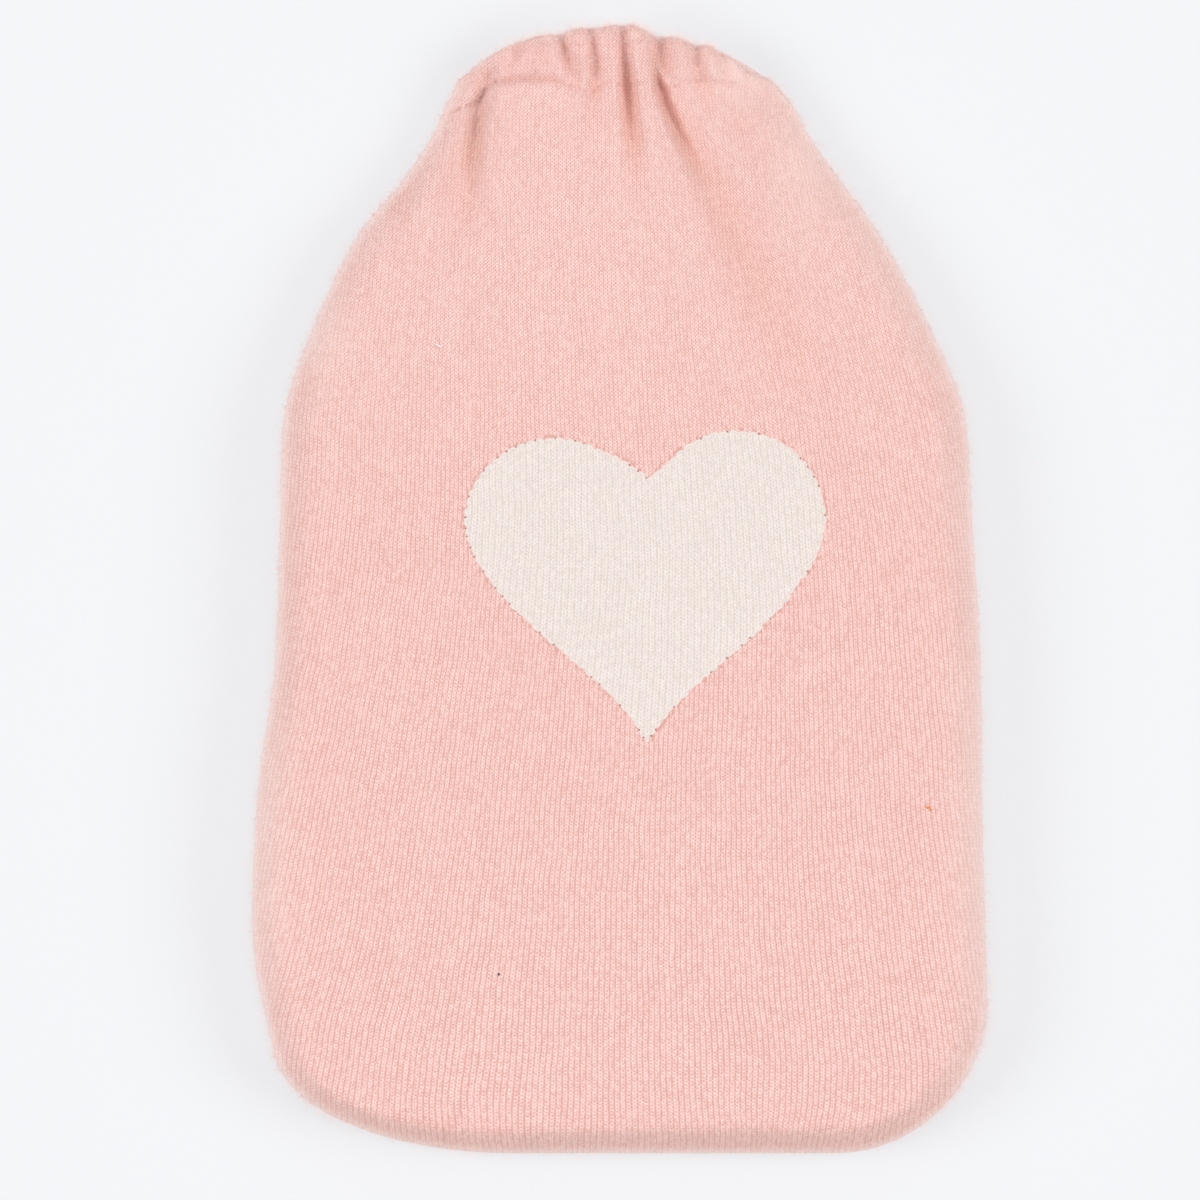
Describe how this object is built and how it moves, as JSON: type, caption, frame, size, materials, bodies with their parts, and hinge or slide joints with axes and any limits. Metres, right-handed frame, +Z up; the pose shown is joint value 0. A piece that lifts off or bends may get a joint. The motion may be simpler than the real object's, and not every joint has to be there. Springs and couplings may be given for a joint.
{
  "type": "hot water bottle cover",
  "caption": "Knitted hot water bottle cover, a flat fitted pouch with shaped shoulders, an inlaid heart on its front and a gathered mouth in a turned hem",
  "frame": {"origin": "bottom centre of the bounding box, on the surface that the back panel lies on", "axes": "+Z is up and out of the front panel, +Y runs along the length towards the gathered mouth, +X is across to the right of the front"},
  "size_m": [0.2212, 0.34, 0.031],
  "materials": {
    "pink_knit_front": "fine pink wool knit with an inlaid cream heart, soft and dull",
    "pink_knit_back": "plain fine pink wool knit, soft and dull"
  },
  "bodies": {
    "root": {"front_panel": "pink_knit_front", "back_panel": "pink_knit_back"}
  },
  "joints": []
}
